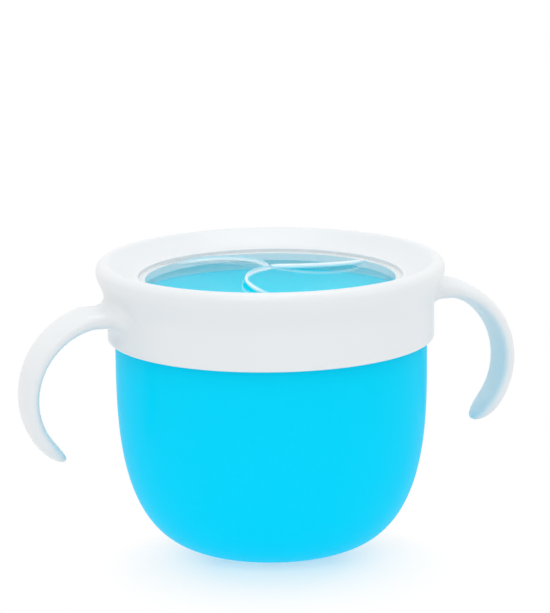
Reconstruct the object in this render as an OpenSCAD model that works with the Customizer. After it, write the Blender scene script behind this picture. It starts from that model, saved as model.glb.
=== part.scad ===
// Toddler snack container: a cup, a lid ring with two open handles, and a soft insert
// whose three swirled flaps let a small hand in and spring shut behind it.
// The axis of the cup is Z, the table is z = 0, and the handles lie on -X and +X.

/* [Cup] */
// Outer radius of the cup's straight wall
cup_r = 42.4; // [40:0.1:46]
// Height of the cup without its lid
cup_h = 74; // [68:0.5:90]
// Thickness of the cup's side wall
cup_wall = 1.9; // [1.4:0.1:2.4]
// Thickness of the cup's floor
cup_floor = 2.2; // [1.6:0.1:3]
// Radius of the flat ring that the cup stands on
base_r = 21; // [18:0.5:26]
// Radius of the shallow recess under the floor
recess_r = 15; // [8:0.5:16]
// Depth of the recess under the floor
recess_h = 0.8; // [0.4:0.1:1]
// Height at which the round bottom has become the straight wall
bowl_h = 53; // [44:0.5:56]
// How square the round bottom is, where 2 is an ellipse
bowl_power = 2.85; // [2.2:0.05:3.4]

/* [Lid ring] */
// Thickness of the skirt that goes over the cup
skirt_wall = 1.9; // [1.4:0.1:2.4]
// How far the skirt reaches below the cup's rim
skirt_drop = 16; // [12:0.5:18]
// Radial clearance of the lid on both sides of the cup's wall
lid_gap = 0.08; // [0.05:0.01:0.1]
// How far the rolled rim stands out past the skirt
rim_flare = 2.9; // [1.5:0.1:3.5]
// Radius of the rolled rim's section
rim_roll = 2.4; // [2:0.1:2.6]
// Height of the rolled rim's crest above the cup's rim
rim_rise = 5.3; // [5:0.1:6.5]
// Thickness of the wall that plugs into the cup
plug_wall = 1.8; // [1.2:0.1:2]
// How far the plug reaches below the cup's rim
plug_drop = 5.5; // [3:0.5:8]
// Radius of the hole that the soft insert fills
hole_r = 34; // [33:0.1:34.5]
// Thickness of the flange round the hole
flange_t = 2; // [1.2:0.1:2.4]

/* [Handles] */
// Distance of the handle's arc centre from the cup's axis
handle_x = 48; // [46:0.1:50]
// How far the handle's arc centre lies below the cup's rim
handle_drop = 28.5; // [27:0.5:32]
// Radius of the handle's middle line where it leaves the lid
handle_top_r = 22.3; // [20:0.1:23]
// Radius of the handle's middle line at its tip
handle_tip_r = 19.8; // [18:0.1:21]
// Angle of the handle's tip below level
handle_tip_a = 56; // [40:1:60]
// Thickness of the grip
grip_t = 4.8; // [4:0.1:6]
// Width of the grip
grip_w = 13.5; // [10:0.5:15]
// Width of the handle close to its tip
tip_w = 10.5; // [8:0.5:12]
// Thickness of the handle close to its tip
tip_t = 4.2; // [3.6:0.1:5]
// Added thickness where the handle runs into the lid
root_t = 4.5; // [3:0.5:5]
// Added width where the handle runs into the lid
root_w = 6; // [4:0.5:8]

/* [Soft insert] */
// Thickness of the insert's two gripping lips
lip_t = 0.9; // [0.7:0.1:1.1]
// How far the lips reach over the flange
lip_reach = 1.6; // [1.2:0.1:2]
// Thickness of the insert's wall inside the hole
web_t = 1.4; // [1.2:0.1:1.8]
// Thickness of a flap
flap_t = 1.2; // [0.9:0.1:1.4]
// Radius of the round bead along a flap's free edge
bead_r = 0.85; // [0.8:0.05:0.95]
// Radius of the round rib that a flap bends along
hinge_r = 0.7; // [0.65:0.01:0.75]
// Radius of the curved slits between the flaps
slit_r = 20; // [18:0.1:22]
// Width of the slits
slit_w = 0.5; // [0.4:0.05:0.7]
// Height of the middle of the flaps above their hinge lines
flap_rise = 2.2; // [2:0.1:3.4]
// Gap round a hinge line
hinge_gap = 0.25; // [0.2:0.05:0.4]

/* [Hidden] */
$fn = 96;

flap_count = 3;
edge_cut = 0.4;     // chamfer on the thin rims
bore_step = 0.3;    // side clearance of the soft lips and the flaps in what surrounds them
far = 100;          // reach of the cutting shapes, past every piece

// Cup: the bottom is a superellipse from the middle of the floor to the wall, cut flat at base_r
bowl_mid_r = 12;
function bowl_rise(r, top_r, h) =
    h * (1 - pow(1 - pow((r - bowl_mid_r) / (top_r - bowl_mid_r), bowl_power), 1 / bowl_power));
function bowl_curve(first_r, top_r, z0, z1, steps = 28) =
    let (low = bowl_rise(first_r, top_r, 1), swing = acos(1 - low))
    [for (i = [0:steps])
        let (down = max(0, cos(swing + (90 - swing) * i / steps)))
        [bowl_mid_r + (top_r - bowl_mid_r) * pow(1 - pow(down, bowl_power), 1 / bowl_power),
         z0 + (z1 - z0) * (1 - down - low) / (1 - low)]];
cup_in_r = cup_r - cup_wall;
floor_r = base_r - cup_wall;

// Lid ring
skirt_in_r = cup_r + lid_gap;
skirt_r = skirt_in_r + skirt_wall;
skirt_z = cup_h - skirt_drop;
rim_r = skirt_r + rim_flare;
roll_x = rim_r - rim_roll;
roll_z = cup_h + rim_rise - rim_roll;
flare_z = skirt_z + 0.62 * skirt_drop;
plug_r = cup_in_r - lid_gap;
plug_in_r = plug_r - plug_wall;
lip_r = hole_r + lip_reach;
lip_z = cup_h + lip_t;
roll_end_a = 125;       // where the roll runs out into the funnel round the insert
roll_steps = 20;
funnel_sag = 0.3;       // how far the funnel's slope stays above its inner edge before it turns level
function ease(u) = u * u * (3 - 2 * u);
function arc(x, z, r, a0, a1, steps) =
    [for (i = [0:steps]) let (a = a0 + (a1 - a0) * i / steps) [x + r * cos(a), z + r * sin(a)]];
function bend(p, q, s, steps) =
    [for (i = [1:steps]) let (u = i / steps) (1 - u) * (1 - u) * p + 2 * u * (1 - u) * q + u * u * s];
flare = [for (i = [0:9]) let (u = i / 10) [skirt_r + rim_flare * ease(u), flare_z + (roll_z - flare_z) * u]];
roll = arc(roll_x, roll_z, rim_roll, 0, roll_end_a, roll_steps);
roll_end = roll[roll_steps];
funnel_edge = [lip_r + bore_step, lip_z];
funnel_run = min((roll_end[1] - lip_z - funnel_sag) / -cos(roll_end_a),
                 0.8 * (roll_end[0] - funnel_edge[0]) / sin(roll_end_a));
funnel_turn = roll_end + funnel_run * [-sin(roll_end_a), cos(roll_end_a)];
funnel = bend(roll_end, funnel_turn, funnel_edge, 10);

// Handles
handle_z = cup_h - handle_drop;
handle_lead = 3.5;      // how deep the handle starts inside the lid's outline, before it is cut to it
root_fade = 4;          // distance over which the added root size fades
cap_share = 0.16;       // share of the arc that the round tip takes
section_power = 2.5;    // how square the handle's section is
section_points = 20;
grip_steps = 22;
cap_steps = 7;

// Soft insert: each flap hinges on the straight line between the outer ends of its two slits
web_in_r = hole_r - web_t;
web_mid_r = hole_r - web_t / 2;
flap_r = web_in_r - bore_step;
hinge_x = web_in_r * cos(180 / flap_count);
hinge_z = cup_h + lip_t;
tilt = atan(flap_rise / hinge_x);
slit_end_a = acos(web_in_r / (2 * slit_r));     // between a lobe's middle and the outer end of its slit
lobe_a = slit_end_a - 180 / flap_count;
next_lobe_a = lobe_a + 360 / flap_count;
first_flap_a = -45;     // direction of the first flap's hinge line
bead_inset = 3;         // how far the bead stops short of both ends of its slit
barrel_from = bore_step / 3 - sqrt(pow(flap_r, 2) - pow(hinge_x + hinge_r, 2));
barrel_to = slit_r * sin(next_lobe_a) - 2 * hinge_r
    - sqrt(pow(slit_r + slit_w / 2, 2) - pow(hinge_x - slit_r * cos(next_lobe_a), 2));

module cup() {
    color("deepskyblue")
    rotate_extrude()
    polygon(concat(
        [[0, recess_h], [recess_r, recess_h], [recess_r, 0]],
        bowl_curve(base_r, cup_r, 0, bowl_h),
        [[cup_r, cup_h - edge_cut], [cup_r - edge_cut, cup_h],
         [cup_in_r + edge_cut, cup_h], [cup_in_r, cup_h - edge_cut]],
        reverse(bowl_curve(floor_r, cup_in_r, cup_floor + recess_h, bowl_h)),
        [[0, cup_floor + recess_h]]));
}

function reverse(list) = [for (i = [len(list) - 1:-1:0]) list[i]];

// The lid ring's outer outline, from the foot of the skirt to the inner edge of the funnel
function lid_outline() = concat(
    [[skirt_r - edge_cut, skirt_z], [skirt_r, skirt_z + edge_cut]], flare, roll, funnel);

module lid_ring() {
    color("whitesmoke")
    rotate_extrude()
    polygon(concat(
        lid_outline(),
        [[funnel_edge[0], cup_h], [hole_r, cup_h], [hole_r, cup_h - flange_t], [plug_in_r, cup_h - flange_t],
         [plug_in_r, cup_h - plug_drop], [plug_r - edge_cut, cup_h - plug_drop],
         [plug_r, cup_h - plug_drop + edge_cut], [plug_r, cup_h],
         [skirt_in_r, cup_h], [skirt_in_r, skirt_z]]));
}

// Thickness and width of the handle at a distance past the skirt and a share of the arc
function root_share(x) = exp(-max(x - skirt_r, 0) / root_fade);
function handle_t(x, u) = grip_t + (tip_t - grip_t) * ease(u) + root_t * root_share(x);
function handle_w(x, u) = grip_w + (tip_w - grip_w) * ease(u) + root_w * root_share(x);
function power_cos(a) = sign(cos(a)) * pow(abs(cos(a)), 2 / section_power);
function power_sin(a) = sign(sin(a)) * pow(abs(sin(a)), 2 / section_power);
function section(x, z, a, t, w) =
    [for (i = [0:section_points - 1])
        let (b = 360 * i / section_points, out = t / 2 * power_cos(b))
        [x + out * cos(a), w / 2 * power_sin(b), z + out * sin(a)]];
function handle_section(u, size = 1) =
    let (a = 90 - u * (90 + handle_tip_a),
         r = handle_top_r + u * (handle_tip_r - handle_top_r),
         x = handle_x + r * cos(a))
    section(x, handle_z + r * sin(a), a, size * handle_t(x, u), size * handle_w(x, u));

module handle() {
    lead_x = skirt_r - handle_lead;
    lead = section(lead_x, handle_z + handle_top_r, 90, handle_t(lead_x, 0), handle_w(lead_x, 0));
    rings = concat(
        [lead],
        [for (i = [0:grip_steps]) handle_section((1 - cap_share) * i / grip_steps)],
        [for (j = [1:cap_steps - 1]) let (a = 90 * j / cap_steps)
            handle_section(1 - cap_share + cap_share * sin(a), cos(a))]);
    tip_a = -handle_tip_a;
    tip = [handle_x + handle_tip_r * cos(tip_a), 0, handle_z + handle_tip_r * sin(tip_a)];
    n = section_points;
    last = (len(rings) - 1) * n;
    points = concat([for (ring = rings) each ring], [tip]);
    faces = concat(
        [[for (i = [n - 1:-1:0]) i]],
        [for (k = [0:len(rings) - 2], i = [0:n - 1])
            let (j = (i + 1) % n) each
            [[k * n + i, (k + 1) * n + j, (k + 1) * n + i], [k * n + i, k * n + j, (k + 1) * n + j]]],
        [for (i = [0:n - 1]) [last + i, last + (i + 1) % n, len(points) - 1]]);
    difference() {
        polyhedron(points, faces);
        rotate_extrude() polygon(concat([[0, skirt_z]], lid_outline(), [[0, lip_z]]));
    }
}

module handle_right() color("whitesmoke") handle();
module handle_left() color("whitesmoke") mirror([1, 0, 0]) handle();

// Places a shape drawn round the cup's axis, with the hinge line to its +X, in the plane of a flap
module flap_plane(k) {
    rotate([0, 0, first_flap_a + k * 360 / flap_count])
    translate([hinge_x, 0, hinge_z]) rotate([0, tilt, 0]) translate([-hinge_x, 0, 0]) children();
}

// One flap's share of the insert, between two slits; inset draws in its leading, outward curved edge
module swirl(r, inset = 0) {
    intersection() {
        circle(r = r);
        difference() {
            union() {
                polygon([[0, 0], far * [cos(lobe_a), sin(lobe_a)], [far, far],
                         far * [cos(next_lobe_a), sin(next_lobe_a)]]);
                rotate([0, 0, lobe_a]) translate([slit_r, 0]) circle(r = slit_r - slit_w / 2 - inset);
            }
            rotate([0, 0, next_lobe_a]) translate([slit_r, 0]) circle(r = slit_r + slit_w / 2);
        }
    }
}

module hinge_line(r, from, to) {
    translate([hinge_x, from, 0]) rotate([-90, 0, 0]) cylinder(r = r, h = to - from);
}

// The round bead on a flap's leading edge, an arc about the middle of its lobe
module edge_bead() {
    r = slit_r - slit_w / 2 - bead_r;
    inset_a = bead_inset / slit_r * 180 / PI;
    from = 180 + inset_a;
    to = 360 - 2 * slit_end_a - inset_a;
    rotate([0, 0, lobe_a]) translate([slit_r, 0])
    rotate([0, 0, from]) rotate_extrude(angle = to - from) translate([r, 0]) circle(r = bead_r);
}

module flap(k) {
    color("azure", 0.6)
    flap_plane(k) {
        linear_extrude(flap_t, center = true)
        intersection() {
            swirl(flap_r, bead_r);
            translate([hinge_x - far, -far / 2]) square(far);
        }
        hinge_line(hinge_r, barrel_from, barrel_to);
        edge_bead();
    }
}

module flap_1() flap(0);
module flap_2() flap(1);
module flap_3() flap(2);

// The fixed root of a flap, from its hinge line out to the ring
module flap_root(k) {
    flap_plane(k)
    difference() {
        linear_extrude(flap_t, center = true)
        intersection() {
            swirl(web_mid_r);
            translate([hinge_x, -far / 2]) square(far);
        }
        hinge_line(hinge_r + hinge_gap, -far / 2, far / 2);
    }
}

module flap_ring() {
    web_top = hinge_z + flap_t / 2;
    web_low = cup_h - flange_t - lip_t;
    color("azure", 0.6) {
        rotate_extrude()
        polygon(concat(
            [[web_in_r, web_low], [lip_r, web_low], [lip_r, cup_h - flange_t],
             [hole_r, cup_h - flange_t], [hole_r, cup_h], [lip_r, cup_h], [lip_r, lip_z]],
            arc(web_mid_r, web_top - web_t / 4, web_t / 2, 0, 180, 10)));
        for (k = [0:flap_count - 1]) flap_root(k);
    }
}

cup();
lid_ring();
handle_left();
handle_right();
flap_ring();
flap_1();
flap_2();
flap_3();
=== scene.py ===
import math
import bmesh
import bpy
from mathutils import Matrix, Vector


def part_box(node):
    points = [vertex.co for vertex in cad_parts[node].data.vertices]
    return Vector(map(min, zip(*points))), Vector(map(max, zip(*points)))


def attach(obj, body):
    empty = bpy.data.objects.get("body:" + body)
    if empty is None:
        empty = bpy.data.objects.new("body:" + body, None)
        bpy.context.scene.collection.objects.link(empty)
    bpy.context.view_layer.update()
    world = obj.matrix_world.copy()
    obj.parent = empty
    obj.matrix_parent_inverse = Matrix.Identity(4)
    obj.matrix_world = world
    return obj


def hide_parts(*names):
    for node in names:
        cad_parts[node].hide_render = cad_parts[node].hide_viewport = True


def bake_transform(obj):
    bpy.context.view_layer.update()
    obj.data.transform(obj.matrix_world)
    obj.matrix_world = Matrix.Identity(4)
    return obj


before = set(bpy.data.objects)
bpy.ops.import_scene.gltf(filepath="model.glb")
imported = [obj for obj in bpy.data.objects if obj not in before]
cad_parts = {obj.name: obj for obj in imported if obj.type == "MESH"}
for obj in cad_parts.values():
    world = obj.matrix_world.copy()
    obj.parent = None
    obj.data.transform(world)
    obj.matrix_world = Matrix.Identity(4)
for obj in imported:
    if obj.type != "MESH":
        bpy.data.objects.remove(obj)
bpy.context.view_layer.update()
mm = 0.001


def ease(u):                                     # 0 to 1 with a soft start and end
    u = max(0.0, min(1.0, u))
    return u * u * (3 - 2 * u)


def lerp(a, b, u):
    return a + (b - a) * u


def arcPoints(x, z, r, first, last, steps):      # points of a profile along an arc, angles in degrees
    turns = [math.radians(lerp(first, last, i / steps)) for i in range(steps + 1)]
    return [(x + r * math.cos(a), z + r * math.sin(a)) for a in turns]


def curvePoints(a, b, c, steps):                 # quadratic curve from a to c, pulled towards b
    return [tuple((1 - u) ** 2 * p + 2 * u * (1 - u) * q + u * u * s for p, q, s in zip(a, b, c))
            for u in (i / steps for i in range(1, steps + 1))]


def closeUp(bm):                                 # welds what coincides and turns the faces outwards
    bmesh.ops.remove_doubles(bm, verts=bm.verts, dist=0.001 * mm)
    bmesh.ops.recalc_face_normals(bm, faces=bm.faces)


def spinProfile(profile, steps=144):             # turns a profile in the XZ plane into a closed shell
    bm = bmesh.new()
    ring = [bm.verts.new((x, 0, z)) for x, z in profile]
    onAxis = 1e-7
    edges = [bm.edges.new((a, b)) for a, b in zip(ring, ring[1:] + ring[:1])
             if abs(a.co.x) + abs(b.co.x) > onAxis]
    bmesh.ops.spin(bm, geom=ring + edges, cent=(0, 0, 0), axis=(0, 0, 1), angle=math.tau,
                   steps=steps, use_merge=True)
    closeUp(bm)
    return bm


def piece(name, bm, finish, node, body=None, sharp=40):
    mesh = bpy.data.meshes.new(name)
    bm.to_mesh(mesh)
    bm.free()
    mesh.shade_smooth()
    mesh.set_sharp_from_angle(angle=math.radians(sharp))
    mesh.materials.append(finish)
    obj = bpy.data.objects.new(name, mesh)
    bpy.context.scene.collection.objects.link(obj)
    if body:
        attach(obj, body)
    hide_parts(node)
    return obj


class Value:                                     # a socket whose sums and products add Math nodes
    def __init__(self, finish, socket):
        self.finish = finish
        self.socket = socket

    def math(self, operation, a, b):
        return self.finish.node("ShaderNodeMath", {"operation": operation}, {0: a, 1: b})

    def __add__(self, other):
        return self.math("ADD", self, other)

    def __radd__(self, other):
        return self.math("ADD", other, self)

    def __sub__(self, other):
        return self.math("SUBTRACT", self, other)

    def __rsub__(self, other):
        return self.math("SUBTRACT", other, self)

    def __mul__(self, other):
        return self.math("MULTIPLY", self, other)

    def __rmul__(self, other):
        return self.math("MULTIPLY", other, self)

    def __pow__(self, other):
        return self.math("POWER", self, other)


class Finish:                                    # a node tree, of a material or of the world
    def __init__(self, owner):
        self.owner = owner
        owner.use_nodes = True
        self.tree = owner.node_tree
        self.tree.nodes.clear()

    def node(self, kind, settings=None, values=None, out=0):
        made = self.tree.nodes.new(kind)
        for key, value in (settings or {}).items():
            setattr(made, key, value)
        for key, value in (values or {}).items():
            if isinstance(value, Value):
                self.tree.links.new(value.socket, made.inputs[key])
            else:
                made.inputs[key].default_value = value
        return Value(self, made.outputs[out]) if made.outputs else None

    def place(self):
        return self.node("ShaderNodeTexCoord", out="Object")

    def noise(self, size, detail):
        return self.node("ShaderNodeTexNoise",
                         values={"Vector": self.place(), "Scale": 1 / size, "Detail": detail})

    def band(self, value, low, high, first=0.0, last=1.0):
        return self.node("ShaderNodeMapRange", values={
            "Value": value, "From Min": low, "From Max": high, "To Min": first, "To Max": last})

    def mix(self, factor, a, b):
        return self.node("ShaderNodeMix", {"data_type": "RGBA"}, {0: factor, 6: a, 7: b}, out=2)

    def mixShader(self, factor, a, b):
        return self.node("ShaderNodeMixShader", values={0: factor, 1: a, 2: b})

    def painted(self, name):                     # a value that the mesh's points carry
        return self.node("ShaderNodeAttribute", {"attribute_name": name}, out="Fac")

    def bump(self, height, depth, strength):
        return self.node("ShaderNodeBump",
                         values={"Height": height, "Distance": depth, "Strength": strength})

    def plainSight(self):                        # 1 for rays from the camera, a gloss or clear plastic
        straight = [self.node("ShaderNodeLightPath", out=name)
                    for name in ("Is Camera Ray", "Is Glossy Ray", "Is Transmission Ray")]
        seen = straight[0]
        for ray in straight[1:]:
            seen = self.node("ShaderNodeMath", {"operation": "MAXIMUM"}, {0: seen, 1: ray})
        return seen

    def surface(self, shader):
        self.node("ShaderNodeOutputMaterial", values={"Surface": shader})
        return self.owner


def newFinish(name):
    return Finish(bpy.data.materials.new(name))


shot = {
    "frameSize": (550, 613),                     # pixels
    "focalPixels": 3314,
    "distance": 0.9,
    "azimuth": -20,
    "elevation": 12.2,
    "aimHeight": 0.06599,
    "aimShift": 0.00117,                         # to the right, which moves the cup left in the frame
    "roll": -0.68,
    "clipStart": 0.05,
    "clipEnd": 30,
}


def makeCamera():
    data = bpy.data.cameras.new("camera")
    data.lens = shot["focalPixels"] * data.sensor_width / max(shot["frameSize"])
    data.clip_start = shot["clipStart"]
    data.clip_end = shot["clipEnd"]
    turn = math.radians(shot["azimuth"])
    lift = math.radians(shot["elevation"])
    back = Vector((math.sin(turn) * math.cos(lift), -math.cos(turn) * math.cos(lift), math.sin(lift)))
    right = Vector((math.cos(turn), math.sin(turn), 0))
    aim = Vector((0, 0, shot["aimHeight"])) + right * shot["aimShift"]
    cam = bpy.data.objects.new("camera", data)
    cam.rotation_mode = "QUATERNION"
    cam.location = aim + back * shot["distance"]
    level = (-back).to_track_quat("-Z", "Y")
    cam.rotation_quaternion = level @ Matrix.Rotation(math.radians(shot["roll"]), 3, "Z").to_quaternion()
    bpy.context.scene.collection.objects.link(cam)
    bpy.context.scene.camera = cam


light = {
    "worldLevel": 0.93,                          # light on the cup; what is seen of the world is 1
    "white": (1.0, 1.0, 1.0, 1),
    "floorSize": 6.0,
    "floorColour": (0.93, 0.93, 0.93, 1),
    "shadowCentre": (-0.008, -0.024, 0),
    "shadowReach": (0.016, 0.047),               # radii between which the floor turns plain white
    "shadowFill": 0.42,                          # share of plain white in the shadow
    "lampAim": (0, 0, 0.05),
    "lamps": [                                   # name, place, size across and watts
        ("keyLamp", (-0.55, -0.75, 1.1), 0.7, 2.2),
        ("topLamp", (0.12, 0.15, 1.2), 0.8, 2.3),
        ("sideLamp", (0.75, -0.7, 0.45), 0.6, 0.45),
    ],
}


def makeWorld():
    world = bpy.data.worlds.new("room")
    bpy.context.scene.world = world
    sky = Finish(world)
    level = light["worldLevel"] + sky.plainSight() * (1 - light["worldLevel"])
    glow = sky.node("ShaderNodeBackground", values={"Color": light["white"], "Strength": level})
    sky.node("ShaderNodeOutputWorld", values={"Surface": glow})


def makeFloor():
    bm = bmesh.new()
    bmesh.ops.create_circle(bm, cap_ends=True, segments=96, radius=light["floorSize"] / 2)
    mesh = bpy.data.meshes.new("floor")
    bm.to_mesh(mesh)
    bm.free()
    floor = bpy.data.objects.new("floor", mesh)
    bpy.context.scene.collection.objects.link(floor)
    paint = newFinish("floorPaint")
    matt = paint.node("ShaderNodeBsdfDiffuse", values={"Color": light["floorColour"]})
    white = paint.node("ShaderNodeEmission", values={"Color": light["white"], "Strength": 1.0})
    away = paint.node("ShaderNodeVectorMath", {"operation": "DISTANCE"},
                      {0: paint.place(), 1: light["shadowCentre"]}, out="Value")
    clear = paint.band(away, *light["shadowReach"])
    share = (light["shadowFill"] + clear * (1 - light["shadowFill"])) * paint.plainSight()
    mesh.materials.append(paint.surface(paint.mixShader(share, matt, white)))


def makeLamps():
    for name, place, size, power in light["lamps"]:
        lamp = bpy.data.lights.new(name, "AREA")
        lamp.shape = "DISK"
        lamp.size = size
        lamp.energy = power
        obj = bpy.data.objects.new(name, lamp)
        obj.rotation_mode = "QUATERNION"
        obj.location = place
        obj.rotation_quaternion = (Vector(light["lampAim"]) - Vector(place)).to_track_quat("-Z", "Y")
        bpy.context.scene.collection.objects.link(obj)


makeCamera()
makeWorld()
makeFloor()
makeLamps()
print("camera and stage are set")


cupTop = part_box("cup")[1]
cupShape = {
    "radius": cupTop.x,
    "height": cupTop.z,
    "wall": 1.9 * mm,
    "floor": 2.2 * mm,
    "baseRadius": 21 * mm,
    "recessRadius": 15 * mm,
    "recessDepth": 0.8 * mm,
    "bowlHeight": 53 * mm,                       # where the round bottom has become the straight wall
    "bowlPower": 2.85,                           # how square the round bottom is
    "middleRadius": 12 * mm,                     # where its curve would start if the base didn't cut it
    "gateRadius": 1.5 * mm,                      # mould gate mark in the recess
    "gateFlat": 0.25,                            # its height as a share of its radius
    "colour": (0.0, 0.84, 1.0, 1),
    # paler tone, used for the painted floor light near the base and for the random clouds
    "paleColour": (0.0, 0.87, 1.0, 1),
    # inner surface, painted lighter than the outer to stand in for the light inside the cup
    "insidePaintedLightColour": (0.02, 0.93, 1.0, 1),
    "paintedBounceBelow": 30 * mm,                        # painted light: the wall is paler towards the base, where the white floor lights it; it also varies in faint clouds
    "paintedBounceShare": 0.5,
    "paleClouds": 0.15,
    "cloud": 18 * mm,
    "roughness": (0.16, 0.265),
    "specular": 0.16,
    "through": 0.72,                             # share of the light that passes the outer surface
    "insideThrough": 0.92,                       # the same for the inner surface
    "coveredFrom": (56 * mm, 61 * mm),           # behind the skirt the inner surface throws it back
    "insideCentre": 0.6,                         # share of the height; inside is what faces this point
}
grain = {                                        # fine moulded texture of both hard plastics
    "size": 2.5 * mm,
    "depth": 0.015 * mm,
    "strength": 0.5,
}


def bowlCurve(firstRadius, topRadius, low, high, steps=40):
    s = cupShape
    span = topRadius - s["middleRadius"]
    power = s["bowlPower"]
    start = 1 - (1 - ((firstRadius - s["middleRadius"]) / span) ** power) ** (1 / power)
    swing = math.acos(1 - start)
    points = []
    for i in range(steps + 1):
        up = 1 - math.cos(lerp(swing, math.pi / 2, i / steps))
        out = max(0.0, 1 - (1 - up) ** power) ** (1 / power)
        points.append((s["middleRadius"] + span * out, low + (high - low) * (up - start) / (1 - start)))
    return points


def wallPoints(radius):                          # up the straight wall, short of its ends
    s = cupShape
    return [(radius, lerp(s["bowlHeight"], s["height"], k / 4)) for k in (1, 2, 3)]


def cupProfile():
    s = cupShape
    inside = s["radius"] - s["wall"]
    lip = s["wall"] / 2
    under = s["recessDepth"]
    floorTop = under + s["floor"]
    gate = arcPoints(0, under, s["gateRadius"], 90, 10, 8)
    outer = [(x, under - (z - under) * s["gateFlat"]) for x, z in gate]
    outer += [(s["recessRadius"] - under / 2, under)]
    outer += arcPoints(s["recessRadius"], under / 2, under / 2, 90, 0, 5)[1:]
    outer += [(s["recessRadius"] + under, 0)]
    outer += bowlCurve(s["baseRadius"], s["radius"], 0, s["bowlHeight"])
    outer += wallPoints(s["radius"])
    outer += arcPoints(s["radius"] - lip, s["height"] - lip, lip, 0, 180, 12)
    inner = bowlCurve(s["baseRadius"] - s["wall"], inside, floorTop, s["bowlHeight"])
    inner += wallPoints(inside)
    return outer + inner[::-1] + [(0, floorTop)]


def cupFinish():
    paint = newFinish("cyanPlastic")
    s = cupShape
    height = paint.node("ShaderNodeSeparateXYZ", values={0: paint.place()}, out="Z")
    # painted light from the white floor: 1 at the base, fading to 0 at the band's height
    low = paint.band(height, 0.0, s["paintedBounceBelow"], 1, 0)
    cloud = paint.noise(s["cloud"], detail=3)
    inside = paint.painted("inside")
    # the painted floor light and the random clouds both mix in the paler colour
    colour = paint.mix(low * s["paintedBounceShare"] + cloud * s["paleClouds"], s["colour"], s["paleColour"])
    # painted light: the inner surface takes the lighter inside colour
    colour = paint.mix(inside, colour, s["insidePaintedLightColour"])
    shell = paint.node("ShaderNodeBsdfPrincipled", values={
        "Base Color": colour, "Roughness": paint.band(cloud, 0.0, 1.0, *s["roughness"]), "IOR": 1.5,
        "Specular IOR Level": s["specular"],
        "Normal": paint.bump(paint.noise(grain["size"], detail=2), grain["depth"], grain["strength"])})
    outward = paint.node("ShaderNodeBsdfTranslucent", values={"Color": s["colour"]})
    inward = paint.node("ShaderNodeBsdfTranslucent", values={"Color": s["insidePaintedLightColour"]})
    covered = paint.band(height, *s["coveredFrom"])
    share = s["through"] + inside * (s["insideThrough"] - s["through"] - covered * s["insideThrough"])
    return paint.surface(paint.mixShader(share, shell, paint.mixShader(inside, outward, inward)))


def makeCup():
    bm = spinProfile(cupProfile())
    inside = bm.verts.layers.float.new("inside")
    bm.normal_update()
    centre = Vector((0, 0, cupShape["height"] * cupShape["insideCentre"]))
    for vert in bm.verts:
        vert[inside] = 1.0 if vert.normal.dot(vert.co - centre) < 0 else 0.0
    piece("cupShell", bm, cupFinish(), "cup", "cup_body")


makeCup()
print("cup is made")


lidLow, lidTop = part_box("lid_ring")
lidShape = {
    "foot": lidLow.z,
    "crest": lidTop.z,
    "rimRadius": lidTop.x,
    "rimFlare": 2.9 * mm,
    "flareFrom": 0.62,                           # share of the way from the foot to the cup's rim
    "rimRoll": 2.4 * mm,
    "rollEnd": 125,                              # where the roll runs out into the funnel
    "funnelSag": 0.3 * mm,
    "funnelReach": 0.8,                          # furthest share of the way in at which it bends
    "funnelGap": 0.3 * mm,                       # between the funnel and the soft insert's lip
    "fit": 0.08 * mm,                            # play on both sides of the cup's wall
    "edge": 0.5 * mm,                            # radius of the rounded edges
    "bevel": 0.3 * mm,                           # on the skirt's inner edge
    "plugDepth": 5.5 * mm,
    "plugWall": 1.8 * mm,
    "holeRadius": 34 * mm,
    "flange": 2.0 * mm,                          # thickness round the hole
    "lipReach": 1.6 * mm,                        # of the soft insert's lips over the flange
    "lipThick": 0.9 * mm,
    "colour": (0.745, 0.765, 0.78, 1),
    "paleColour": (0.78, 0.80, 0.815, 1),
    "paleClouds": 0.25,
    "cloud": 16 * mm,
    "roughness": (0.285, 0.375),
    "glowShare": 0.15,                           # light that spreads below the surface, and how far
    "glowDepth": 0.8 * mm,
}
lidShape["skirtRadius"] = lidShape["rimRadius"] - lidShape["rimFlare"]
lidShape["rollCentre"] = (lidShape["rimRadius"] - lidShape["rimRoll"],
                          lidShape["crest"] - lidShape["rimRoll"])
lidShape["flareStart"] = lerp(lidShape["foot"], cupShape["height"], lidShape["flareFrom"])


def skirtRadiusAt(z):                            # the lid's outside below the roll
    s = lidShape
    return s["skirtRadius"] + s["rimFlare"] * ease(
        (z - s["flareStart"]) / (s["rollCentre"][1] - s["flareStart"]))


def skirtPoints(steps=24):
    s = lidShape
    points = arcPoints(s["skirtRadius"] - s["edge"], s["foot"] + s["edge"], s["edge"], -90, 0, 5)
    heights = [lerp(s["foot"] + 2 * s["edge"], s["rollCentre"][1], i / steps) for i in range(steps)]
    return points + [(skirtRadiusAt(z), z) for z in heights]


def rimPoints():                                 # the roll, and the funnel down to the soft insert
    s = lidShape
    lipOut = s["holeRadius"] + s["lipReach"] + s["funnelGap"]
    lipTop = cupShape["height"] + s["lipThick"]
    roll = arcPoints(*s["rollCentre"], s["rimRoll"], 0, s["rollEnd"], 26)
    endX, endZ = roll[-1]
    run = math.radians(s["rollEnd"])
    reach = min((endZ - lipTop - s["funnelSag"]) / -math.cos(run),
                s["funnelReach"] * (endX - lipOut) / math.sin(run))
    turn = (endX - reach * math.sin(run), endZ + reach * math.cos(run))
    return roll + curvePoints(roll[-1], turn, (lipOut, lipTop), 20)


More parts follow.
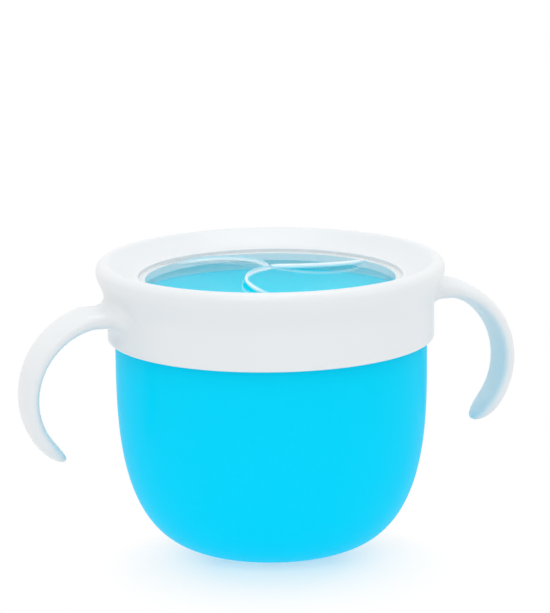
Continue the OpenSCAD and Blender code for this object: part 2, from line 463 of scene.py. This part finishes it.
def plugPoints():                                # flange, plug and the inside of the skirt
    s = lidShape
    top = cupShape["height"]
    skirtInside = cupShape["radius"] + s["fit"]
    plugOutside = cupShape["radius"] - cupShape["wall"] - s["fit"]
    plugInside = plugOutside - s["plugWall"]
    edge = s["edge"]
    plugFoot = top - s["plugDepth"] + edge
    points = [(s["holeRadius"] + s["lipReach"] + s["funnelGap"], top), (s["holeRadius"], top),
              (s["holeRadius"], top - s["flange"]), (plugInside, top - s["flange"])]
    points += arcPoints(plugInside + edge, plugFoot, edge, 180, 270, 4)
    points += arcPoints(plugOutside - edge, plugFoot, edge, 270, 360, 4)
    points += [(plugOutside, top), (skirtInside, top)]
    points += [(skirtInside, s["foot"] + edge), (skirtInside + s["bevel"], s["foot"])]
    return points


def lidFinish():
    paint = newFinish("whitePlastic")
    s = lidShape
    cloud = paint.noise(s["cloud"], detail=3)
    return paint.surface(paint.node("ShaderNodeBsdfPrincipled", values={
        "Base Color": paint.mix(cloud * s["paleClouds"], s["colour"], s["paleColour"]),
        "Roughness": paint.band(cloud, 0.0, 1.0, *s["roughness"]), "IOR": 1.5,
        "Subsurface Weight": s["glowShare"], "Subsurface Radius": (1.0, 1.0, 1.0),
        "Subsurface Scale": s["glowDepth"],
        "Normal": paint.bump(paint.noise(grain["size"], detail=2), grain["depth"], grain["strength"])}))


whitePlastic = lidFinish()
lidProfile = skirtPoints() + rimPoints() + plugPoints()
piece("lidRing", spinProfile(lidProfile), whitePlastic, "lid_ring", "lid_body")
print("lid ring is made")


handleShape = {
    "centre": (48 * mm, cupShape["height"] - 28.5 * mm),
    "topRadius": 22.3 * mm,
    "tipRadius": 19.8 * mm,
    "tipAngle": 56,                              # below level
    "thick": 4.8 * mm,
    "wide": 13.5 * mm,
    "tipThick": 4.2 * mm,
    "tipWide": 10.5 * mm,
    "rootThick": 3.0 * mm,                       # added where it leaves the lid
    "rootWide": 5.0 * mm,
    "rootFade": 5.0 * mm,
    "fillet": 4.4 * mm,                          # radius of the sweep into the lid
    "filletSteps": 12,
    "seam": (0.8 * mm, 0.02 * mm),               # how far the sweep's hem runs on and dips into the lid
    "anchor": 0.9 * mm,                          # depth of the hem's end inside the skirt
    "leave": 0.075,                              # share of the arc at which the sweep ends
    "capShare": 0.16,                            # share of the arc that the round tip takes
    "capSteps": 10,
    "gripSteps": 44,
    "around": 56,                                # corners round the section
    "power": 2.5,                                # how square the section is
}


def handleSection(u, size=1.0):                  # middle, outward direction, thickness and width
    s = handleShape
    turn = math.radians(90 - u * (90 + s["tipAngle"]))
    r = lerp(s["topRadius"], s["tipRadius"], u)
    out = Vector((math.cos(turn), 0, math.sin(turn)))
    middle = Vector((s["centre"][0], 0, s["centre"][1])) + out * r
    root = math.exp(-max(middle.x - lidShape["skirtRadius"], 0) / s["rootFade"])
    thick = lerp(s["thick"], s["tipThick"], ease(u)) + s["rootThick"] * root
    wide = lerp(s["wide"], s["tipWide"], ease(u)) + s["rootWide"] * root
    return middle, out, thick * size, wide * size


def placeRing(ring, middle, out, thick, wide):
    p = 2 / handleShape["power"]
    for i, vert in enumerate(ring):
        a = math.tau * i / len(ring)
        c = math.cos(a)
        t = math.sin(a)
        vert.co = (middle + out * (thick / 2 * math.copysign(abs(c) ** p, c))
                   + Vector((0, wide / 2 * math.copysign(abs(t) ** p, t), 0)))


def nextRing(bm, ring):
    edges = [bm.edges.get((a, b)) for a, b in zip(ring, ring[1:] + ring[:1])]
    made = bmesh.ops.extrude_edge_only(bm, edges=edges)["geom"]
    verts = {v for v in made if isinstance(v, bmesh.types.BMVert)}
    return [next(e.other_vert(v) for e in v.link_edges if e.other_vert(v) in verts) for v in ring]


def sweepRows():                                 # each ring's gap to the wall and spread round the handle
    s = handleShape
    spread, dip = s["seam"]
    rows = [(-s["anchor"], s["fillet"] + spread), (-dip, s["fillet"] + spread)]
    for k in range(s["filletSteps"] + 1):
        turn = math.radians(90 * (1 - k / s["filletSteps"]))
        rows.append((s["fillet"] * (1 - math.sin(turn)), s["fillet"] * (1 - math.cos(turn))))
    return rows


def sweepOut(bm, ring):                          # from inside the skirt out to the handle's first section
    middle, out, thick, wide = handleSection(handleShape["leave"])
    placeRing(ring, middle, out, thick, wide)
    start = [v.co.copy() for v in ring]
    outwards = []
    for p in start:
        off = p - middle
        outwards.append(Vector((0, off.y / wide ** 2, off.z / thick ** 2)).normalized())
    for k, (gap, spread) in enumerate(sweepRows()):
        if k:
            ring = nextRing(bm, ring)
        for vert, p, away in zip(ring, start, outwards):
            y = p.y + away.y * spread
            z = p.z + away.z * spread
            wall = math.sqrt(max(skirtRadiusAt(z) ** 2 - y * y, 0))
            vert.co = (wall + gap, y, z)
    return ring


def makeHandle(name, node, side):
    s = handleShape
    bm = bmesh.new()
    ring = bmesh.ops.create_circle(bm, cap_ends=False, segments=s["around"], radius=s["thick"])["verts"]
    ring = sweepOut(bm, ring)
    for i in range(s["gripSteps"] + 1):
        ring = nextRing(bm, ring)
        placeRing(ring, *handleSection(lerp(s["leave"], 1 - s["capShare"], i / s["gripSteps"])))
    for i in range(1, s["capSteps"]):
        a = math.radians(90 * i / s["capSteps"])
        ring = nextRing(bm, ring)
        placeRing(ring, *handleSection(1 - s["capShare"] * (1 - math.sin(a)), math.cos(a)))
    bmesh.ops.pointmerge(bm, verts=ring, merge_co=handleSection(1.0)[0])
    if side < 0:
        bmesh.ops.scale(bm, vec=(-1, 1, 1), verts=bm.verts)
    cap = bmesh.ops.holes_fill(bm, edges=[e for e in bm.edges if e.is_boundary], sides=0)["faces"]
    bmesh.ops.poke(bm, faces=cap)
    bmesh.ops.recalc_face_normals(bm, faces=bm.faces)
    piece(name, bm, whitePlastic, node, "lid_body", sharp=60)


makeHandle("handleRight", "handle_right", 1)
makeHandle("handleLeft", "handle_left", -1)
print("handles are made")


insertShape = {
    "count": 3,
    "firstAngle": -45,                           # direction of the first flap's hinge line
    "webThick": 1.4 * mm,
    "sheetThick": 1.0 * mm,
    "beadRadius": 0.7 * mm,
    "beadStart": 3 * mm,                         # the bead grows over this length from the middle
    "beadFade": 8 * mm,                          # and runs out over this length before the ring
    "slitRadius": 20 * mm,
    "slitWidth": 0.5 * mm,
    "tipGap": 0.3 * mm,                          # from the axis to the flaps' tips
    "webLap": 0.1 * mm,                          # how far a flap's sheet runs into the ring
    "rise": 2.2 * mm,                            # of the middle over the hinge lines
    "bendSoft": 2.0 * mm,                        # roundness of the bend at a hinge line
    "bendLength": 4.5 * mm,                      # width of the strip that bends when a flap moves
    "rows": (56, 52),                            # steps of a flap's grid, outwards and across
    "rowPower": 1.15,                            # closer rows near the middle
    "colour": (0.93, 0.98, 1.0, 1),
    "milk": 0.02,                                # how milky a clear face is, straight on
    "edgeGlintAlpha": 0.9,                             # painted highlight: white added along the beads, where the real ones glint
    "leadFade": 1.2,                             # how far that reaches, in bead radii
    "trailGlint": 0.3,                           # painted highlight along a flap's thin edge, as a share of the bead's
    "glancing": 5.0,                             # how fast the glare grows towards a low view
    "glare": 0.12,
    "cloud": 9 * mm,
    "roughness": (0.12, 0.18),
    "grain": 0.6 * mm,
    "grainDepth": 0.01 * mm,
    "grainStrength": 0.4,
}
insertShape["ringInside"] = lidShape["holeRadius"] - insertShape["webThick"]
insertShape["hingeRadius"] = insertShape["ringInside"] * math.cos(math.pi / insertShape["count"])
insertShape["hingeHeight"] = cupShape["height"] + lidShape["lipThick"]
slitEnd = math.acos(insertShape["ringInside"] / (2 * insertShape["slitRadius"]))
lobeAngle = slitEnd - math.pi / insertShape["count"]
nextLobe = lobeAngle + math.tau / insertShape["count"]


def insertFinish():
    paint = newFinish("clearSoftPlastic")
    s = insertShape
    cloud = paint.noise(s["cloud"], detail=3)
    normal = paint.bump(paint.noise(s["grain"], detail=2), s["grainDepth"], s["grainStrength"])
    facing = paint.node("ShaderNodeLayerWeight", values={"Blend": 0.5, "Normal": normal}, out="Facing")
    glare = facing ** s["glancing"] * s["glare"]
    return paint.surface(paint.node("ShaderNodeBsdfPrincipled", values={
        "Base Color": s["colour"], "Roughness": paint.band(cloud, 0.3, 0.7, *s["roughness"]),
        # painted highlight: the alpha turns the sheet white along its edges
        "IOR": 1.46, "Alpha": s["milk"] + paint.painted("paintedEdgeGlint") * s["edgeGlintAlpha"] + glare,
        "Normal": normal}))


clearSoft = insertFinish()


def insertRingProfile():
    s = insertShape
    top = cupShape["height"]
    low = top - lidShape["flange"]
    lip = lidShape["lipThick"]
    hole = lidShape["holeRadius"]
    lipMiddle = hole + lidShape["lipReach"] - lip / 2
    web = s["webThick"]
    lower = [(s["ringInside"], low - lip)] + arcPoints(lipMiddle, low - lip / 2, lip / 2, -90, 90, 8)
    upper = arcPoints(lipMiddle, top + lip / 2, lip / 2, -90, 90, 8)
    crown = arcPoints(hole - web / 2, s["hingeHeight"] + s["sheetThick"] / 2, web / 2, 20, 180, 8)
    return lower + [(hole, low), (hole, top)] + upper + crown


def slitAngle(radius, wall, lobe):               # direction at which a slit's wall crosses a circle
    a = insertShape["slitRadius"]
    share = (radius * radius + a * a - wall * wall) / (2 * radius * a)
    return lobe - math.acos(max(-1, min(1, share)))


def sheetHeight(x):                              # height over the hinge plane at a distance from the axis
    s = insertShape
    slope = s["rise"] / s["hingeRadius"]
    inward = s["hingeRadius"] - x
    return slope * (inward + math.sqrt(inward * inward + s["bendSoft"] ** 2)) / 2


def edgeHalf(distance, radius):                  # half thickness of a round edge
    if distance <= 0:
        return 0.0
    if distance >= radius:
        return radius
    return math.sqrt(radius * radius - (radius - distance) ** 2)


def lobeCentre(angle):
    return Vector((math.cos(angle), math.sin(angle))) * insertShape["slitRadius"]


def flapPoint(u, t):                             # place, half thickness and painted edge highlight, outwards u and across t
    s = insertShape
    half = s["sheetThick"] / 2
    bead = s["beadRadius"]
    leadWall = s["slitRadius"] - s["slitWidth"] / 2
    trailWall = s["slitRadius"] + s["slitWidth"] / 2
    first = s["tipGap"]
    last = s["ringInside"] + s["webLap"]
    radius = lerp(first, last, u ** s["rowPower"])
    a = lerp(slitAngle(radius, leadWall, lobeAngle), slitAngle(radius, trailWall, nextLobe), t)
    flat = Vector((radius * math.cos(a), radius * math.sin(a)))
    lead = leadWall - (flat - lobeCentre(lobeAngle)).length if a < lobeAngle else leadWall
    trail = (flat - lobeCentre(nextLobe)).length - trailWall
    tail = ease((last - radius) / s["beadFade"])
    # painted highlight, strongest right at a bead's edge
    glint = max(1 - ease(lead / (s["leadFade"] * bead)), s["trailGlint"] * (1 - ease(trail / half)))
    if min(lead, trail, radius - first, last - radius) < 0.001 * mm:
        return flat, 0, tail * glint             # the two sheets meet along every edge
    beadNow = lerp(half, bead, tail * ease(radius / s["beadStart"]))
    bulge = math.sqrt(max(beadNow ** 2 - (lead - beadNow) ** 2, 0)) if lead <= 2 * beadNow else 0
    body = max(min(edgeHalf(lead, half), edgeHalf(trail, half)), bulge)
    return flat, min(body, edgeHalf(trail, bead)), tail * glint


def makeFlap(k):
    s = insertShape
    turn = Matrix.Rotation(math.radians(s["firstAngle"]) + math.tau * k / s["count"], 3, "Z")
    bm = bmesh.new()
    # painted edge highlight, kept on the mesh's points
    glint = bm.verts.layers.float.new("paintedEdgeGlint")
    bmesh.ops.create_grid(bm, x_segments=s["rows"][0], y_segments=s["rows"][1], size=0.5)
    twin = bmesh.ops.duplicate(bm, geom=bm.faces[:])["geom"]
    under = {v for v in twin if isinstance(v, bmesh.types.BMVert)}
    bmesh.ops.reverse_faces(bm, faces=[f for f in twin if isinstance(f, bmesh.types.BMFace)])
    for vert in bm.verts:
        across = (1 - math.cos(math.pi * (vert.co.y + 0.5))) / 2
        flat, half, vert[glint] = flapPoint(vert.co.x + 0.5, across)
        middle = s["hingeHeight"] + sheetHeight(flat.x)
        vert.co = turn @ Vector((flat.x, flat.y, middle - half if vert in under else middle + half))
    closeUp(bm)
    flap = piece(f"flap{k + 1}", bm, clearSoft, f"flap_{k + 1}", sharp=70)
    strip = turn @ Vector((s["bendLength"] / 2, 0, 0))
    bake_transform(flap)


piece("insertRing", spinProfile(insertRingProfile()), clearSoft, "flap_ring", "lid_body")
for k in range(insertShape["count"]):
    makeFlap(k)
print("soft insert is made")

bpy.context.scene.view_settings.view_transform = "Standard"
